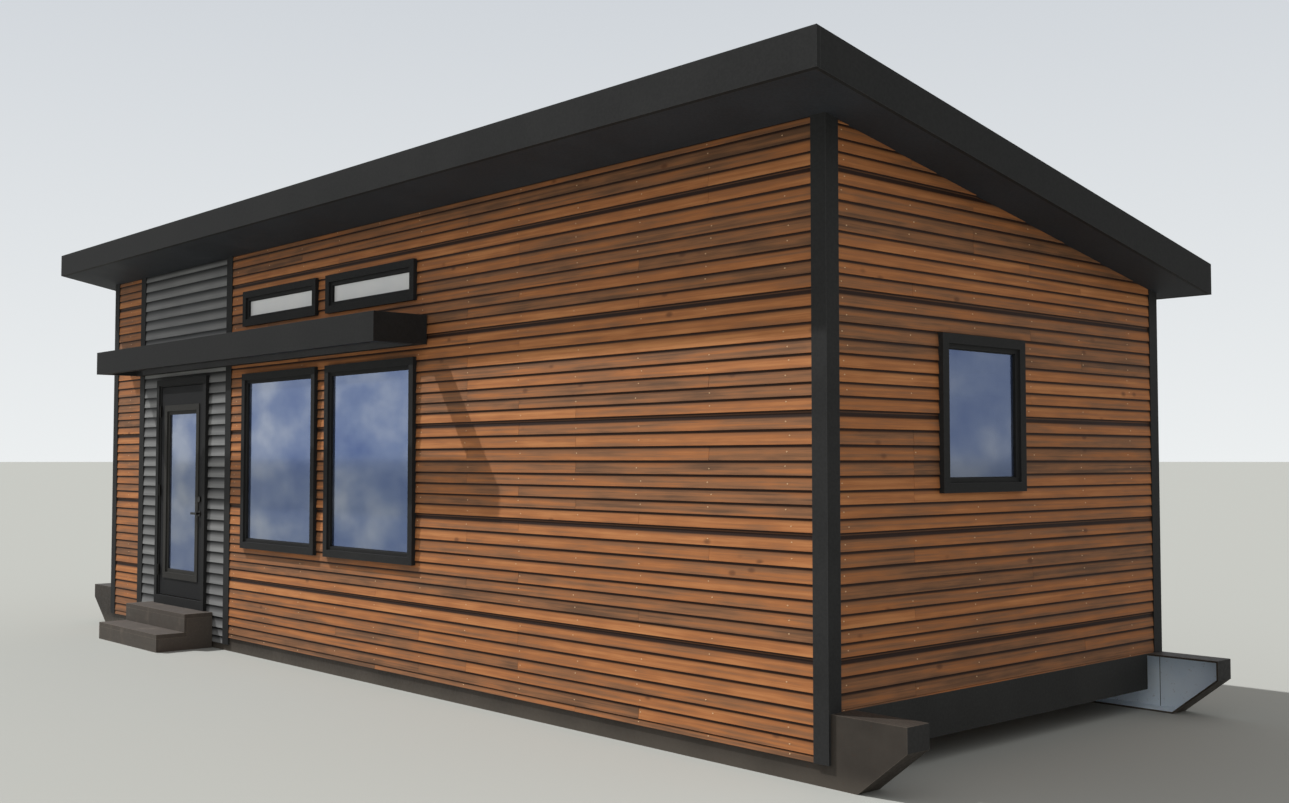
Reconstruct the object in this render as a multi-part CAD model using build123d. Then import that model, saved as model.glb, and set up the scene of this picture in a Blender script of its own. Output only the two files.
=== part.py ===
from build123d import *
import os

# A cabin on two steel skids, under one roof slope, in millimetres.
# X runs along the long front wall, Y from the front wall to the rear wall, Z up from the ground.
# The origin is on the ground below the middle of the whole cabin, steps and roof included.

# Body of the cabin, over the faces of its trim boards
house_length = 9540
house_width = 3495
eave_height = 3490
wall_thickness = 125
trim_thickness = 18
trim_width = 103
siding_thickness = 14
siding_drop = 118

# Roof
roof_fall = 0.190
roof_height = 208
overhang_front = 441
overhang_rear = 139
overhang_side = 322
fascia_thickness = 28
lining_thickness = 12
sheet_thickness = 4
seam_height = 20
seam_thickness = 8
seam_spacing = 600
seam_setback = 45

# Skids, floor beams and floor
skid_height = 378
skid_width = 180
skid_plate = 12
skid_reach = 480
skid_nose = 129
skid_heel_reach = 168
beam_bottom = 142
rim_thickness = 45
joist_thickness = 38
joist_spacing = 600
deck_thickness = 18

# Upright battens between the strips of siding, measured from the left corner
batten_width = 107
batten_left = 669
batten_right = 2578
batten_bottom = 55

# Windows, over their casings, measured from the left corner, or as their names say
casing_width = 56
casing_proud = 25
casing_lap = 10
sash_width = 20
sash_setback = 18
sash_depth = 40
liner_thickness = 16
glass_thickness = 6
glass_bite = 6
pane_width = 1282
tall_height = 1509
tall_bottom = 918
transom_height = 302
transom_bottom = 2842
pane_left = 2945
pane_right = 4387
end_window_width = 836
end_window_height = 907
end_window_bottom = 1491
right_window_from_front = 980
left_window_from_front = 420
rear_window_from_right = 373
rear_window_bottom = 2090

# Front door, measured from the left corner to the outer edge of its casing
door_left = 1140
door_casing_top = 2448
slab_width = 914
slab_thickness = 44
slab_setback = 21
hinge_gap = 5
strike_gap = 8
head_gap = 6
threshold_gap = 8
jamb_thickness = 35
jamb_reveal = 25
jamb_setback = 14
stop_gap = 6
stop_thickness = 12

# Glazed light in the door
lite_width = 757
lite_height = 1636
lite_bottom = 563
lite_ring = 55
lite_bead = 33
lite_proud = 8
lite_lap = 30
bead_setback = 6

# Door furniture
hinge_height = 102
hinge_leaf = 2
hinge_leaf_depth = 50
knuckle_radius = 7
knuckle_gap = 1
pin_radius = 3.5
pin_clearance = 0.3
hinge_inset = 230
handle_height = 1190
bolt_height = 1320
handle_backset = 45
rose_radius = 25
rose_thickness = 8
neck_radius = 9
neck_length = 34
lever_length = 112
lever_height = 20
lever_thickness = 13
bolt_thickness = 14

# Awning over the door and windows, measured from the left corner
awning_left = 698
awning_right = 5812
awning_depth = 440
awning_bottom = 2509
awning_height = 212
awning_board = 76

# Steps at the door, measured from the left corner
steps_left = 1051
steps_width = 1311
landing_top = 314
landing_depth = 255
low_step_top = 154
low_step_depth = 253
tread_thickness = 38
riser_thickness = 25
cheek_thickness = 40

# Planes that the pieces share
front_reach = max(landing_depth + low_step_depth, overhang_front, awning_depth)
front_y = front_reach - (front_reach + house_width + overhang_rear) / 2
rear_y = front_y + house_width
left_x = -house_length / 2
right_x = house_length / 2
sheath_front = front_y + trim_thickness
sheath_rear = rear_y - trim_thickness
sheath_left = left_x + trim_thickness
sheath_right = right_x - trim_thickness
siding_front = sheath_front - siding_thickness
siding_rear = sheath_rear + siding_thickness
siding_left = sheath_left - siding_thickness
siding_right = sheath_right + siding_thickness
room_front = sheath_front + wall_thickness
room_rear = sheath_rear - wall_thickness
room_left = sheath_left + wall_thickness
room_right = sheath_right - wall_thickness
floor_top = skid_height + deck_thickness

# The roof's edges
roof_left = left_x - overhang_side
roof_right = right_x + overhang_side
roof_front = front_y - overhang_front
roof_rear = rear_y + overhang_rear

# The doorway, from the casing inwards
casing_inner_left = left_x + door_left + casing_width
doorway_left = casing_inner_left + jamb_reveal
slab_left = doorway_left + hinge_gap
slab_right = slab_left + slab_width
doorway_right = slab_right + strike_gap
casing_inner_right = doorway_right + jamb_reveal
casing_outer_right = casing_inner_right + casing_width
doorway_top = door_casing_top - casing_width - jamb_reveal / 2
slab_bottom = floor_top + threshold_gap
slab_top = doorway_top - head_gap
slab_front = front_y - casing_proud + slab_setback
slab_back = slab_front + slab_thickness
jamb_front = front_y - casing_proud + jamb_setback
frame_left = doorway_left - jamb_thickness
frame_right = doorway_right + jamb_thickness
frame_top = doorway_top + jamb_thickness
hinge_x = doorway_left + hinge_gap / 2
hinge_y = jamb_front - knuckle_radius - knuckle_gap


def block(x0, x1, y0, y1, z0, z1):
    """A block between three pairs of planes."""
    centre = Pos((x0 + x1) / 2, (y0 + y1) / 2, (z0 + z1) / 2)
    return centre * Box(x1 - x0, y1 - y0, z1 - z0)


def along_x(outline, x0, x1):
    """A prism with an outline of (y, z) points between two x planes."""
    face = Plane.YZ.offset(x0) * Polygon(*outline, align=None)
    return extrude(face, amount=x1 - x0, dir=(1, 0, 0))


def along_y(face, y0, y1):
    """A prism of a face drawn on the XZ plane, between two y planes."""
    return extrude(Pos(0, y0, 0) * face, amount=y1 - y0, dir=(0, 1, 0))


def roof_z(y):
    """Height of the roof's underside at a place between front and rear."""
    return eave_height - roof_fall * (y - front_y)


def under_roof(x0, x1, y0, y1, z0):
    """A block whose top follows the underside of the roof."""
    outline = [(y0, z0), (y1, z0), (y1, roof_z(y1)), (y0, roof_z(y0))]
    return along_x(outline, x0, x1)


def roof_layer(x0, x1, y0, y1, low, high):
    """A plate parallel to the roof, between two heights above its underside."""
    outline = [
        (y0, roof_z(y0) + low),
        (y1, roof_z(y1) + low),
        (y1, roof_z(y1) + high),
        (y0, roof_z(y0) + high),
    ]
    return along_x(outline, x0, x1)


def evenly(start, end, spacing):
    """Places at about the given spacing, strictly between two ends."""
    count = max(1, round((end - start) / spacing))
    return [start + (end - start) * step / count for step in range(1, count)]


# Skids and floor

def skid(web_y, inner_y):
    """A steel channel, open towards the middle, with a slanted underside at both ends."""
    end_x = right_x + skid_reach
    heel_x = right_x + skid_heel_reach
    nose_z = skid_height - skid_nose
    side = Plane.XZ * Polygon(
        (-heel_x, 0),
        (heel_x, 0),
        (end_x, nose_z),
        (end_x, skid_height),
        (-end_x, skid_height),
        (-end_x, nose_z),
        align=None,
    )
    hollow = offset(side, amount=-skid_plate, kind=Kind.INTERSECTION)
    web_inside = web_y + skid_plate if inner_y > web_y else web_y - skid_plate
    solid = along_y(side, min(web_y, inner_y), max(web_y, inner_y))
    return solid - along_y(hollow, min(web_inside, inner_y), max(web_inside, inner_y))


skid_front_inner = sheath_front + skid_width
skid_rear_inner = sheath_rear - skid_width


def rim_beams():
    """The two floor beams under the end walls, between the skids."""
    beams = []
    for outer, inner in ((siding_left, siding_left + rim_thickness),
                         (siding_right - rim_thickness, siding_right)):
        beams.append(block(outer, inner, skid_front_inner, skid_rear_inner,
                           beam_bottom, skid_height))
    return beams


def floor_joists():
    """Joists across the floor, notched at both ends to sit inside the channels."""
    joists = []
    first = siding_left + rim_thickness
    last = siding_right - rim_thickness
    for x in evenly(first, last, joist_spacing):
        x0 = x - joist_thickness / 2
        x1 = x + joist_thickness / 2
        tongue = block(x0, x1, sheath_front + skid_plate, sheath_rear - skid_plate,
                       beam_bottom, skid_height - skid_plate)
        body = block(x0, x1, skid_front_inner, skid_rear_inner, beam_bottom, skid_height)
        joists.append(tongue + body)
    return joists


# Windows, drawn as seen from outside: x along the wall, y into the room, z up

def window_ring(width, height, edge, y0, y1, face):
    """A rectangular ring, set in from the casing's outline by edge and face wide."""
    inner = edge + face
    outside = block(edge, width - edge, y0, y1, edge, height - edge)
    return outside - block(inner, width - inner, y0, y1, inner, height - inner)


def window_frame(width, height):
    """Casing, liner through the wall and sash of one window, in one piece."""
    liner_edge = casing_width - casing_lap
    sash_edge = liner_edge + liner_thickness
    sash_y = sash_setback - casing_proud
    wall_inside = trim_thickness + wall_thickness
    casing = window_ring(width, height, 0, -casing_proud, trim_thickness, casing_width)
    liner = window_ring(width, height, liner_edge, sash_y, wall_inside, liner_thickness)
    sash = window_ring(width, height, sash_edge, sash_y, sash_y + sash_depth, sash_width)
    return casing + liner + sash - window_glass(width, height)


def window_glass(width, height):
    """A pane let into its sash."""
    edge = casing_width - casing_lap + liner_thickness + sash_width - glass_bite
    y0 = sash_setback - casing_proud + (sash_depth - glass_thickness) / 2
    return block(edge, width - edge, y0, y0 + glass_thickness, edge, height - edge)


def window_hole(width, height):
    """The hole through the wall that a window's liner fills."""
    edge = casing_width - casing_lap
    return block(edge, width - edge, trim_thickness, trim_thickness + wall_thickness,
                 edge, height - edge)


def siding_hole(width, height):
    """The hole through the siding that a window's casing fills."""
    return block(0, width, trim_thickness - siding_thickness, trim_thickness, 0, height)


def on_front(from_left, bottom):
    """The place of a window in the front wall."""
    return Pos(left_x + from_left, front_y, bottom)


def on_rear(from_right, bottom):
    """The place of a window in the rear wall."""
    return Pos(right_x - from_right, rear_y, bottom) * Rot(0, 0, 180)


def on_right(from_front, bottom):
    """The place of a window in the right end wall."""
    return Pos(right_x, front_y + from_front, bottom) * Rot(0, 0, 90)


def on_left(from_front, width, bottom):
    """The place of a window in the left end wall."""
    return Pos(left_x, front_y + from_front + width, bottom) * Rot(0, 0, -90)


# Each group of windows: place, width and height
tall_windows = [
    (on_front(pane_left, tall_bottom), pane_width, tall_height),
    (on_front(pane_right, tall_bottom), pane_width, tall_height),
]
transoms = [
    (on_front(pane_left, transom_bottom), pane_width, transom_height),
    (on_front(pane_right, transom_bottom), pane_width, transom_height),
]
right_windows = [
    (on_right(right_window_from_front, end_window_bottom), end_window_width, end_window_height),
]
left_windows = [
    (on_left(left_window_from_front, end_window_width, end_window_bottom),
     end_window_width, end_window_height),
]
rear_windows = [
    (on_rear(rear_window_from_right, rear_window_bottom), pane_width, transom_height),
]


def placed(windows, shape):
    """One shape for each window of a group, in its place."""
    return [place * shape(width, height) for place, width, height in windows]


def without(solid, holes):
    """A wall or siding panel with its holes cut."""
    for hole in holes:
        solid = solid - hole
    return solid


# Walls

def front_wall_left():
    """The front wall to the left of the doorway."""
    return under_roof(sheath_left, frame_left, sheath_front, room_front, floor_top)


def front_wall_over_door():
    """The front wall above the doorway."""
    return under_roof(frame_left, frame_right, sheath_front, room_front, frame_top)


def front_wall_right():
    """The front wall to the right of the doorway, with four window holes."""
    wall = under_roof(frame_right, sheath_right, sheath_front, room_front, floor_top)
    return without(wall, placed(tall_windows + transoms, window_hole))


def rear_wall():
    """The low rear wall, with one high window hole."""
    wall = under_roof(sheath_left, sheath_right, room_rear, sheath_rear, floor_top)
    return without(wall, placed(rear_windows, window_hole))


def end_wall_left():
    """The left end wall between the front and rear walls."""
    wall = under_roof(sheath_left, room_left, room_front, room_rear, floor_top)
    return without(wall, placed(left_windows, window_hole))


def end_wall_right():
    """The right end wall between the front and rear walls."""
    wall = under_roof(room_right, sheath_right, room_front, room_rear, floor_top)
    return without(wall, placed(right_windows, window_hole))


# Siding and trim

def front_strip(x0, x1, bottom):
    """Siding on the front wall between two x planes, hanging over the skid."""
    return under_roof(x0, x1, siding_front, sheath_front, bottom)


def front_siding_left():
    """The wooden strip beside the left corner."""
    return front_strip(left_x + trim_width, left_x + batten_left, siding_drop)


def door_siding():
    """The grey siding around the door, as long as its battens, cut out for the casing and sill."""
    panel = front_strip(left_x + batten_left + batten_width, left_x + batten_right, batten_bottom)
    hole = block(left_x + door_left, casing_outer_right, siding_front, sheath_front,
                 landing_top, door_casing_top)
    return panel - hole


def front_siding_right():
    """The long wooden panel with the windows."""
    panel = front_strip(left_x + batten_right + batten_width, right_x - trim_width, siding_drop)
    return without(panel, placed(tall_windows + transoms, siding_hole))


def rear_siding():
    """Siding on the rear wall, hanging over the rear skid."""
    panel = under_roof(left_x + trim_width, right_x - trim_width,
                       sheath_rear, siding_rear, siding_drop)
    return without(panel, placed(rear_windows, siding_hole))


def end_siding(x0, x1, windows):
    """Siding on an end wall, down to the top of the skids."""
    panel = under_roof(x0, x1, front_y + trim_width, rear_y - trim_width, skid_height)
    return without(panel, placed(windows, siding_hole))


def corner_trim(x_outer, x_face, x_inner, y_outer, y_face, y_inner):
    """Two boards that meet at a corner: one on the long wall, one on the end wall."""
    long_board = under_roof(min(x_outer, x_inner), max(x_outer, x_inner),
                            min(y_outer, y_face), max(y_outer, y_face), siding_drop)
    end_board = under_roof(min(x_outer, x_face), max(x_outer, x_face),
                           min(y_outer, y_inner), max(y_outer, y_inner), skid_height)
    return long_board + end_board


def corner_trims(y_outer, y_face, y_inner):
    """The trims at both corners of one long wall."""
    return [
        corner_trim(left_x, sheath_left, left_x + trim_width, y_outer, y_face, y_inner),
        corner_trim(right_x, sheath_right, right_x - trim_width, y_outer, y_face, y_inner),
    ]


def battens():
    """The two upright boards beside the grey siding."""
    return [
        under_roof(left_x + start, left_x + start + batten_width,
                   front_y, sheath_front, batten_bottom)
        for start in (batten_left, batten_right)
    ]


# Roof

def roof_soffit():
    """The board under the overhang, all round the outside of the walls."""
    board = roof_layer(roof_left + fascia_thickness, roof_right - fascia_thickness,
                       roof_front + fascia_thickness, roof_rear - fascia_thickness,
                       0, lining_thickness)
    return board - roof_layer(sheath_left, sheath_right, sheath_front, sheath_rear,
                              0, lining_thickness)


def ceiling():
    """The board over the room and on top of the walls."""
    return roof_layer(sheath_left, sheath_right, sheath_front, sheath_rear, 0, lining_thickness)


def roof_panel():
    """The insulated roof between the fascia boards."""
    return roof_layer(roof_left + fascia_thickness, roof_right - fascia_thickness,
                      roof_front + fascia_thickness, roof_rear - fascia_thickness,
                      lining_thickness, roof_height - sheet_thickness)


def fascia(y0, y1):
    """A board along the whole length of the roof."""
    return roof_layer(roof_left, roof_right, y0, y1, 0, roof_height)


def rakes():
    """The sloping boards at both ends of the roof."""
    return [
        roof_layer(x0, x0 + fascia_thickness, roof_front + fascia_thickness,
                   roof_rear - fascia_thickness, 0, roof_height)
        for x0 in (roof_left, roof_right - fascia_thickness)
    ]


def roof_sheet():
    """Sheet metal on top, with raised seams that run down the slope."""
    x0 = roof_left + fascia_thickness
    x1 = roof_right - fascia_thickness
    y0 = roof_front + fascia_thickness
    y1 = roof_rear - fascia_thickness
    sheet = roof_layer(x0, x1, y0, y1, roof_height - sheet_thickness, roof_height)
    for x in evenly(x0, x1, seam_spacing):
        sheet = sheet + roof_layer(x - seam_thickness / 2, x + seam_thickness / 2,
                                   y0 + seam_setback, y1 - seam_setback,
                                   roof_height - sheet_thickness, roof_height + seam_height)
    return sheet


# Awning

def awning_frame():
    """Four boards on edge, open above and below, with the back one against the wall."""
    x0 = left_x + awning_left
    x1 = left_x + awning_right
    y0 = front_y - awning_depth
    top = awning_bottom + awning_height
    outside = block(x0, x1, y0, front_y, awning_bottom, top)
    inside = block(x0 + awning_board, x1 - awning_board, y0 + awning_board,
                   front_y - awning_board, awning_bottom, top)
    return outside - inside


def arch(x0, x1, top, leg, y0, y1, z0):
    """Two legs and a head of one width, with the given inner outline."""
    outside = block(x0 - leg, x1 + leg, y0, y1, z0, top + leg)
    return outside - block(x0, x1, y0, y1, z0, top)


def door_casing():
    """Flat boards round the doorway, as wide as those of the windows."""
    return arch(casing_inner_left, casing_inner_right, door_casing_top - casing_width,
                casing_width, front_y - casing_proud, sheath_front, landing_top)


def door_frame():
    """Jambs and head through the wall, with a stop behind the door."""
    frame = arch(doorway_left, doorway_right, doorway_top, jamb_thickness,
                 sheath_front, room_front, floor_top)
    lip = arch(doorway_left, doorway_right, doorway_top, jamb_reveal,
               jamb_front, sheath_front, floor_top)
    lip = lip & block(casing_inner_left, casing_inner_right, jamb_front, sheath_front,
                      floor_top, door_casing_top - casing_width)
    stop = arch(doorway_left + stop_thickness, doorway_right - stop_thickness,
                doorway_top - stop_thickness, stop_thickness,
                slab_back + stop_gap, room_front, floor_top)
    return frame + lip + stop


def door_sill():
    """The block under the door, from the landing up to the floor."""
    return block(casing_inner_left, casing_inner_right, front_y - casing_proud, sheath_front,
                 landing_top, floor_top)


def lite_block(edge, y0, y1):
    """A block over the door's light, set in from its outline."""
    x0 = (slab_left + slab_right - lite_width) / 2
    return block(x0 + edge, x0 + lite_width - edge, y0, y1,
                 lite_bottom + edge, lite_bottom + lite_height - edge)


def door_slab():
    """The leaf of the door, with the hole for its light."""
    slab = block(slab_left, slab_right, slab_front, slab_back, slab_bottom, slab_top)
    return slab - lite_block(lite_lap, slab_front, slab_back)


def door_glass():
    """The pane, held in the middle of the leaf."""
    middle = (slab_front + slab_back) / 2
    return lite_block(lite_ring + lite_bead - glass_bite,
                      middle - glass_thickness / 2, middle + glass_thickness / 2)


def door_lite_frame():
    """A raised ring on both faces of the leaf and the beads that hold the pane."""
    glass_edge = lite_ring + lite_bead
    front = slab_front - lite_proud
    back = slab_back + lite_proud
    rings = lite_block(0, front, slab_front) + lite_block(0, slab_back, back)
    core = lite_block(lite_lap, slab_front, slab_back)
    frame = rings + core - lite_block(glass_edge, front, back)
    frame = frame - lite_block(lite_ring, front, slab_front + bead_setback)
    frame = frame - lite_block(lite_ring, slab_back - bead_setback, back)
    return frame - door_glass()


def hinge_places():
    """Heights of the middle of each hinge."""
    return [slab_bottom + hinge_inset, (slab_bottom + slab_top) / 2, slab_top - hinge_inset]


def barrel(z0, z1, radius):
    """A round rod on the hinge axis."""
    return Pos(hinge_x, hinge_y, (z0 + z1) / 2) * Cylinder(radius, z1 - z0)


def hinge_leaf_on_jamb(z):
    """The leaf on the jamb with its two knuckles and the pin."""
    half = hinge_height / 2
    third = hinge_height / 6
    leaf = block(doorway_left, doorway_left + hinge_leaf, hinge_y,
                 jamb_front + hinge_leaf_depth, z - half, z + half)
    leaf = leaf - barrel(z - third, z + third, knuckle_radius + knuckle_gap)
    low = barrel(z - half, z - third, knuckle_radius)
    high = barrel(z + third, z + half, knuckle_radius)
    return leaf + low + high + barrel(z - half, z + half, pin_radius)


def hinge_leaf_on_door(z):
    """The leaf on the edge of the door with the middle knuckle."""
    half = hinge_height / 2
    third = hinge_height / 6
    middle = third - knuckle_gap
    leaf = block(slab_left - hinge_leaf, slab_left, hinge_y,
                 jamb_front + hinge_leaf_depth, z - half, z + half)
    reach = knuckle_radius + knuckle_gap
    leaf = leaf - barrel(z - half, z - middle, reach) - barrel(z + middle, z + half, reach)
    knuckle = barrel(z - middle, z + middle, knuckle_radius)
    return leaf + knuckle - barrel(z - middle, z + middle, pin_radius + pin_clearance)


def turned(radius, x, z, y0, y1):
    """A round disc or rod square to the door."""
    return Pos(x, (y0 + y1) / 2, z) * Rot(90, 0, 0) * Cylinder(radius, abs(y1 - y0))


def lever_set(face_y, out):
    """A rose, a neck and a lever that points to the hinges, on one face of the door."""
    x = slab_right - handle_backset
    rose_y = face_y + out * rose_thickness
    neck_y = rose_y + out * neck_length
    lever_y = neck_y - out * lever_thickness
    rose = turned(rose_radius, x, handle_height, face_y, rose_y)
    neck = turned(neck_radius, x, handle_height, rose_y, neck_y)
    lever = block(x - lever_length, x + neck_radius, min(neck_y, lever_y), max(neck_y, lever_y),
                  handle_height - lever_height / 2, handle_height + lever_height / 2)
    lever = fillet(lever.edges().filter_by(Axis.Y), lever_height / 3)
    return rose + neck + lever


def door_handle():
    """Lever sets and bolt roses on both faces of the door."""
    x = slab_right - handle_backset
    return [
        lever_set(slab_front, -1),
        lever_set(slab_back, 1),
        turned(rose_radius, x, bolt_height, slab_front - bolt_thickness, slab_front),
        turned(rose_radius, x, bolt_height, slab_back, slab_back + bolt_thickness),
    ]


# Steps

steps_x0 = left_x + steps_left
steps_x1 = steps_x0 + steps_width
landing_front = front_y - landing_depth
low_step_front = landing_front - low_step_depth


def step_treads():
    """The landing and the low step."""
    return [
        block(steps_x0, steps_x1, landing_front, siding_front,
              landing_top - tread_thickness, landing_top),
        block(steps_x0, steps_x1, low_step_front, landing_front + riser_thickness,
              low_step_top - tread_thickness, low_step_top),
    ]


def step_risers():
    """The upright boards in front of both steps."""
    return [
        block(steps_x0, steps_x1, landing_front, landing_front + riser_thickness,
              low_step_top, landing_top - tread_thickness),
        block(steps_x0, steps_x1, low_step_front, low_step_front + riser_thickness,
              0, low_step_top - tread_thickness),
    ]


def step_cheeks():
    """The sides of the steps, cut to carry both treads."""
    back = siding_front
    low_y = low_step_front + riser_thickness
    high_y = landing_front + riser_thickness
    low_z = low_step_top - tread_thickness
    high_z = landing_top - tread_thickness
    outline = [(low_y, 0), (back, 0), (back, high_z), (high_y, high_z),
               (high_y, low_z), (low_y, low_z)]
    return [
        along_x(outline, steps_x0, steps_x0 + cheek_thickness),
        along_x(outline, steps_x1 - cheek_thickness, steps_x1),
    ]


nodes = {
    "skid_front": skid(sheath_front, skid_front_inner),
    "skid_rear": skid(sheath_rear, skid_rear_inner),
    "rim_beams": rim_beams(),
    "floor_joists": floor_joists(),
    "floor_deck": block(sheath_left, sheath_right, sheath_front, sheath_rear,
                        skid_height, floor_top),
    "front_wall_left": front_wall_left(),
    "front_wall_over_door": front_wall_over_door(),
    "front_wall_right": front_wall_right(),
    "rear_wall": rear_wall(),
    "end_wall_left": end_wall_left(),
    "end_wall_right": end_wall_right(),
    "front_siding_left": front_siding_left(),
    "door_siding": door_siding(),
    "front_siding_right": front_siding_right(),
    "rear_siding": rear_siding(),
    "end_siding_left": end_siding(siding_left, sheath_left, left_windows),
    "end_siding_right": end_siding(sheath_right, siding_right, right_windows),
    "corner_trims_front": corner_trims(front_y, sheath_front, front_y + trim_width),
    "corner_trims_rear": corner_trims(rear_y, sheath_rear, rear_y - trim_width),
    "battens": battens(),
    "ceiling": ceiling(),
    "roof_soffit": roof_soffit(),
    "roof_panel": roof_panel(),
    "roof_sheet": roof_sheet(),
    "fascia_front": fascia(roof_front, roof_front + fascia_thickness),
    "fascia_rear": fascia(roof_rear - fascia_thickness, roof_rear),
    "rakes": rakes(),
    "awning_frame": awning_frame(),
    "tall_window_frames": placed(tall_windows, window_frame),
    "tall_window_glass": placed(tall_windows, window_glass),
    "transom_frames": placed(transoms, window_frame),
    "transom_glass": placed(transoms, window_glass),
    "right_window_frame": placed(right_windows, window_frame),
    "right_window_glass": placed(right_windows, window_glass),
    "left_window_frame": placed(left_windows, window_frame),
    "left_window_glass": placed(left_windows, window_glass),
    "rear_window_frame": placed(rear_windows, window_frame),
    "rear_window_glass": placed(rear_windows, window_glass),
    "door_casing": door_casing(),
    "door_frame": door_frame(),
    "door_sill": door_sill(),
    "hinge_jamb_leaves": [hinge_leaf_on_jamb(z) for z in hinge_places()],
    "door_slab": door_slab(),
    "door_lite_frame": door_lite_frame(),
    "door_glass": door_glass(),
    "door_handle": door_handle(),
    "hinge_door_leaves": [hinge_leaf_on_door(z) for z in hinge_places()],
    "step_treads": step_treads(),
    "step_risers": step_risers(),
    "step_cheeks": step_cheeks(),
}

os.makedirs("parts", exist_ok=True)
for name, shape in nodes.items():
    solids = shape if isinstance(shape, list) else [shape]
    whole = Compound([solid for item in solids for solid in item.solids()])
    export_step(whole, f"parts/{name}.step")
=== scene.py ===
"""The looks of a cabin on two steel skids: lap boards, paint, glass, steel, light and camera.

Everything is in metres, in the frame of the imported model: X along the long front wall, Y from the
front wall to the rear wall, Z up from the ground. Colours are written as on a screen, 0 to 255.
"""
import math
import random

import bmesh
import bpy
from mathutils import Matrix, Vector


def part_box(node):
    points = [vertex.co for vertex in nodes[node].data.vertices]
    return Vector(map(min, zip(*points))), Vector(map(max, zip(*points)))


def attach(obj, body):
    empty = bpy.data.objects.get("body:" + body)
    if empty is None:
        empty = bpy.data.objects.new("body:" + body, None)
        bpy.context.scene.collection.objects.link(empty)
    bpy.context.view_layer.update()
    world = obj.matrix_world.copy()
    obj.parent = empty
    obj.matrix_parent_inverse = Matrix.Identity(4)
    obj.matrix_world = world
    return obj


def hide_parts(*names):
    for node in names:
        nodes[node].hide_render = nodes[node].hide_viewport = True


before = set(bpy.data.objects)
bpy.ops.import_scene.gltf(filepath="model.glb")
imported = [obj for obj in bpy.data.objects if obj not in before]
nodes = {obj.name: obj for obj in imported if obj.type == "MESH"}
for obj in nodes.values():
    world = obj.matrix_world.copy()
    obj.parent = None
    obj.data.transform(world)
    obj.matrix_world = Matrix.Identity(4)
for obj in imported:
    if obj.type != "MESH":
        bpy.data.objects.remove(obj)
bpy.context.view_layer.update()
random.seed(7)

# Camera, at the place and with the angle of view of the photograph
camera_place = (9.3756, -7.0108, 1.676)
camera_turn = 47.784
camera_tilt = 92.456
camera_lens = 38.332
camera_sensor = 36.0
camera_far = 4000.0

# Light: one key light from the upper left of the front wall, and an even fill
key_direction = (0.868, 0.44, -1.22)
key_strength = 3.4
key_angle = 0.8
fill_strength = 0.57
floor_reach = 1500.0
floor_colour = (172, 173, 168)
sky_high_colour = (206, 211, 217)
sky_low_colour = (236, 239, 240)
sky_high_at = 0.35

# The middle range of a noise, which most materials spread out, and how far paint fades
noise_low = 0.3
noise_high = 0.7
fade_lighter = 1.22
fade_darker = 0.82

# Worn arrises: how far a bevelled normal is turned, as a cosine, where wear starts and is full
bevel_samples = 4
unworn_turn = 0.995
worn_turn = 0.93

# Wooden lap boards: the visible heights of the eight boards that repeat up the wall, from the
# wide gap under the first one
wood_faces = (0.074, 0.072, 0.076, 0.076, 0.080, 0.084, 0.084, 0.074)
wood_gap = 0.024
wood_first_gap = -0.014

# Tone of a wooden board, from 0 for the brownest to 1 for the brightest: where it starts above a
# wide gap, how much it gains with each board, and how much boards differ
tone_first = 0.28
tone_step = 0.055
tone_spread = 0.09
tone_least = 0.1
tone_most = 0.95
strip_tone = 0.35

# Grey lap boards round the door, all of one height and nearly one tone
grey_face = 0.0954
grey_first_lap = 0.0935
grey_tone_least = 0.3
grey_tone_most = 0.8
skirt_tone = 0.5

# Shape of a lap board, out from the sheathing, and how boards meet along a course
butt_out = 0.014
top_out = 0.007
recess_out = 0.002
strip_out = 0.005
# The lap value in the middle of a strip in a wide gap: its edges take the full painted shade of a lap, its
# middle only part of it.
strip_middle_shade_lap = 0.80
butt_chamfer = 0.0015
cut_chamfer = 0.0001
board_wobble = 0.0006
joint_gap = 0.002
grain_spread = 60
stud_spacing = 0.59
stud_first = 0.36
shortest_board = 4
longest_board = 8
siding_bottom = 0.118

# Nails, with heads that are wider along the board, at the studs but not near a board's end, a
# window or the roof; some are filled and don't show
nail_radius = 0.0042
nail_stretch = 1.6
nail_rim = 0.7
nail_proud = 0.0009
nail_sunk = 0.001
nail_sides = 6
nail_heights = (0.38, 0.62)
nail_stray = 0.028
nails_unseen = 0.3
nail_from_end = 0.01
nail_from_window = 0.02
nail_from_roof = 0.03

# Steel of the skids, the dust on it, and the plates that stiffen their webs under the cabin's ends
skid_wall = 0.012
dust_height = 0.12
plate_width = 0.16
plate_thickness = 0.010

# The body that every piece made here rides on: the cabin, and not its door
body = "house"

# Windows
pane_width = 1.282
gasket_width = 0.007
gasket_depth = 0.005
glass_bite = 0.006


def screen(red, green, blue):
    """A colour as it shows on a screen, as the linear values that a shader takes."""
    def linear(value):
        share = value / 255
        return share / 12.92 if share <= 0.04045 else ((share + 0.055) / 1.055) ** 2.4
    return (linear(red), linear(green), linear(blue), 1.0)


# Materials

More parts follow.
